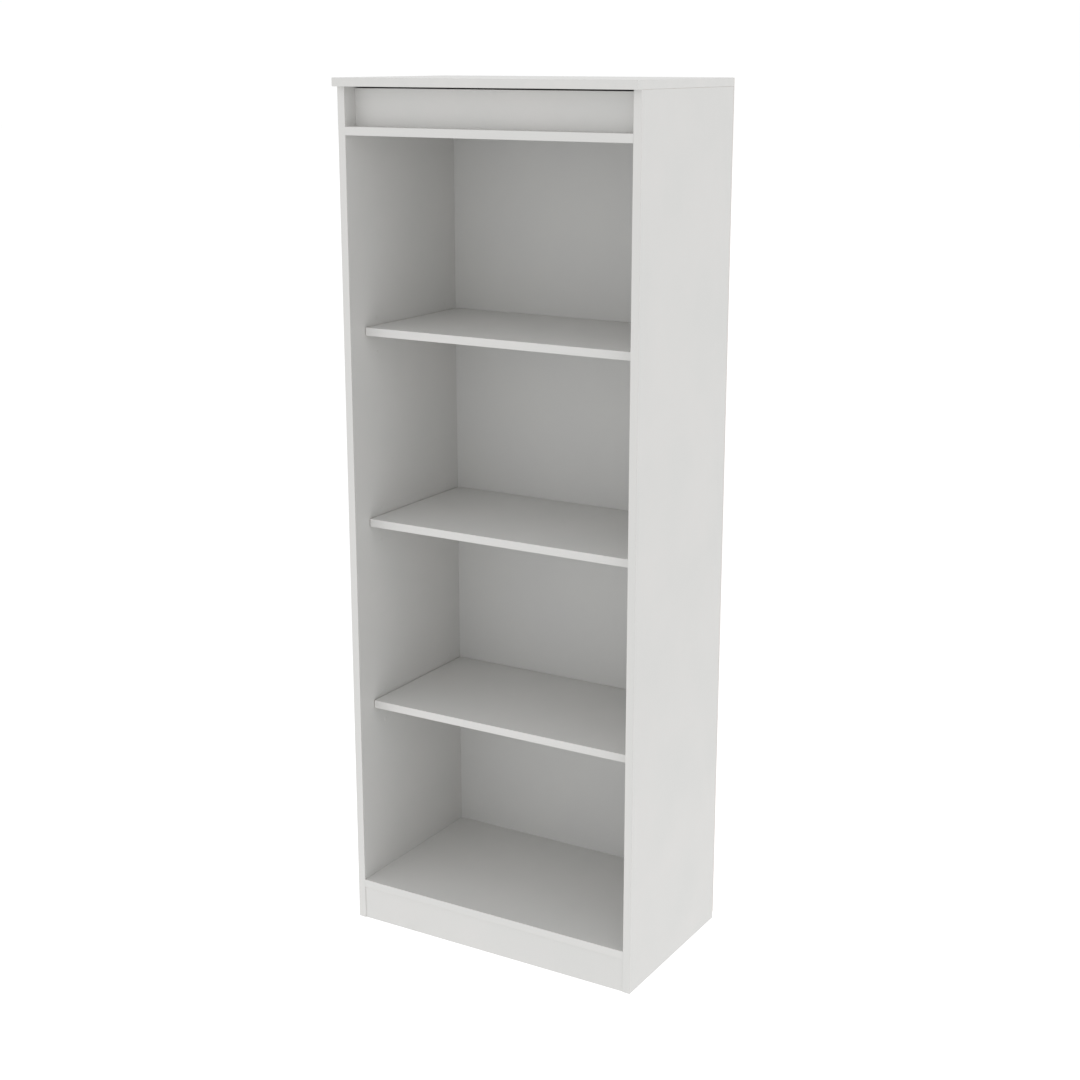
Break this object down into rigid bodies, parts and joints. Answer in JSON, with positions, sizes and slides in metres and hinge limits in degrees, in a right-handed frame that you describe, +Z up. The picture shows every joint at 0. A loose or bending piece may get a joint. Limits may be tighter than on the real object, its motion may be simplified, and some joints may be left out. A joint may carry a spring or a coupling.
{
  "type": "bookcase with adjustable shelves",
  "caption": "Tall narrow open bookcase with a plinth, a header rail under an overhanging top panel, and adjustable shelves on pins.",
  "frame": {"origin": "on the floor, in the middle of the footprint's bounding box", "axes": "+Z up, +X to the right as seen from the open front, open front faces -Y"},
  "size_m": [0.6, 0.363, 1.6],
  "materials": {
    "white_board": "white melamine-faced particle board, smooth satin",
    "white_edging": "white ABS edge strip, satin",
    "back_board": "white lacquered hardboard, satin",
    "zinc": "die-cast zinc and zinc-plated steel, satin",
    "nickel": "nickel-plated steel, bright",
    "beech": "raw beech",
    "plug_plastic": "white moulded polyethylene"
  },
  "bodies": {
    "carcass": {"left_side_panel": "white_board", "right_side_panel": "white_board", "top_panel": "white_board", "fixed_top_shelf": "white_board", "header_rail": "white_board", "bottom_shelf": "white_board", "plinth_board": "white_board", "rear_base_rail": "white_board", "left_side_edging": "white_edging", "right_side_edging": "white_edging", "top_panel_edging": "white_edging", "fixed_top_shelf_edging": "white_edging", "bottom_shelf_edging": "white_edging", "back_panel": "back_board", "cam_locks": "zinc", "cam_bolts": "zinc", "wood_dowels": "beech", "back_panel_nails": "zinc", "hole_plugs": "plug_plastic", "wall_bracket": "zinc", "bracket_screws": "zinc"},
    "lower_shelf": {"lower_shelf": "white_board", "lower_shelf_edging": "white_edging"},
    "middle_shelf": {"middle_shelf": "white_board", "middle_shelf_edging": "white_edging"},
    "upper_shelf": {"upper_shelf": "white_board", "upper_shelf_edging": "white_edging"},
    "pin_lower_left_front": {"shelf_pin_lower_left_front": "nickel"},
    "pin_lower_left_rear": {"shelf_pin_lower_left_rear": "nickel"},
    "pin_lower_right_front": {"shelf_pin_lower_right_front": "nickel"},
    "pin_lower_right_rear": {"shelf_pin_lower_right_rear": "nickel"},
    "pin_middle_left_front": {"shelf_pin_middle_left_front": "nickel"},
    "pin_middle_left_rear": {"shelf_pin_middle_left_rear": "nickel"},
    "pin_middle_right_front": {"shelf_pin_middle_right_front": "nickel"},
    "pin_middle_right_rear": {"shelf_pin_middle_right_rear": "nickel"},
    "pin_upper_left_front": {"shelf_pin_upper_left_front": "nickel"},
    "pin_upper_left_rear": {"shelf_pin_upper_left_rear": "nickel"},
    "pin_upper_right_front": {"shelf_pin_upper_right_front": "nickel"},
    "pin_upper_right_rear": {"shelf_pin_upper_right_rear": "nickel"}
  },
  "joints": [
    {"name": "lift_lower_shelf", "type": "slide", "parent": "carcass", "child": "lower_shelf", "axis": [0, 0, 1], "range_m": [0, 0.335]},
    {"name": "lift_middle_shelf", "type": "slide", "parent": "carcass", "child": "middle_shelf", "axis": [0, 0, 1], "range_m": [0, 0.335]},
    {"name": "lift_upper_shelf", "type": "slide", "parent": "carcass", "child": "upper_shelf", "axis": [0, 0, 1], "range_m": [0, 0.325]},
    {"name": "pull_pin_lower_left_front", "type": "slide", "parent": "carcass", "child": "pin_lower_left_front", "axis": [1, 0, 0], "range_m": [0, 0.0105]},
    {"name": "pull_pin_lower_left_rear", "type": "slide", "parent": "carcass", "child": "pin_lower_left_rear", "axis": [1, 0, 0], "range_m": [0, 0.0105]},
    {"name": "pull_pin_lower_right_front", "type": "slide", "parent": "carcass", "child": "pin_lower_right_front", "axis": [-1, 0, 0], "range_m": [0, 0.0105]},
    {"name": "pull_pin_lower_right_rear", "type": "slide", "parent": "carcass", "child": "pin_lower_right_rear", "axis": [-1, 0, 0], "range_m": [0, 0.0105]},
    {"name": "pull_pin_middle_left_front", "type": "slide", "parent": "carcass", "child": "pin_middle_left_front", "axis": [1, 0, 0], "range_m": [0, 0.0105]},
    {"name": "pull_pin_middle_left_rear", "type": "slide", "parent": "carcass", "child": "pin_middle_left_rear", "axis": [1, 0, 0], "range_m": [0, 0.0105]},
    {"name": "pull_pin_middle_right_front", "type": "slide", "parent": "carcass", "child": "pin_middle_right_front", "axis": [-1, 0, 0], "range_m": [0, 0.0105]},
    {"name": "pull_pin_middle_right_rear", "type": "slide", "parent": "carcass", "child": "pin_middle_right_rear", "axis": [-1, 0, 0], "range_m": [0, 0.0105]},
    {"name": "pull_pin_upper_left_front", "type": "slide", "parent": "carcass", "child": "pin_upper_left_front", "axis": [1, 0, 0], "range_m": [0, 0.0105]},
    {"name": "pull_pin_upper_left_rear", "type": "slide", "parent": "carcass", "child": "pin_upper_left_rear", "axis": [1, 0, 0], "range_m": [0, 0.0105]},
    {"name": "pull_pin_upper_right_front", "type": "slide", "parent": "carcass", "child": "pin_upper_right_front", "axis": [-1, 0, 0], "range_m": [0, 0.0105]},
    {"name": "pull_pin_upper_right_rear", "type": "slide", "parent": "carcass", "child": "pin_upper_right_rear", "axis": [-1, 0, 0], "range_m": [0, 0.0105]}
  ]
}
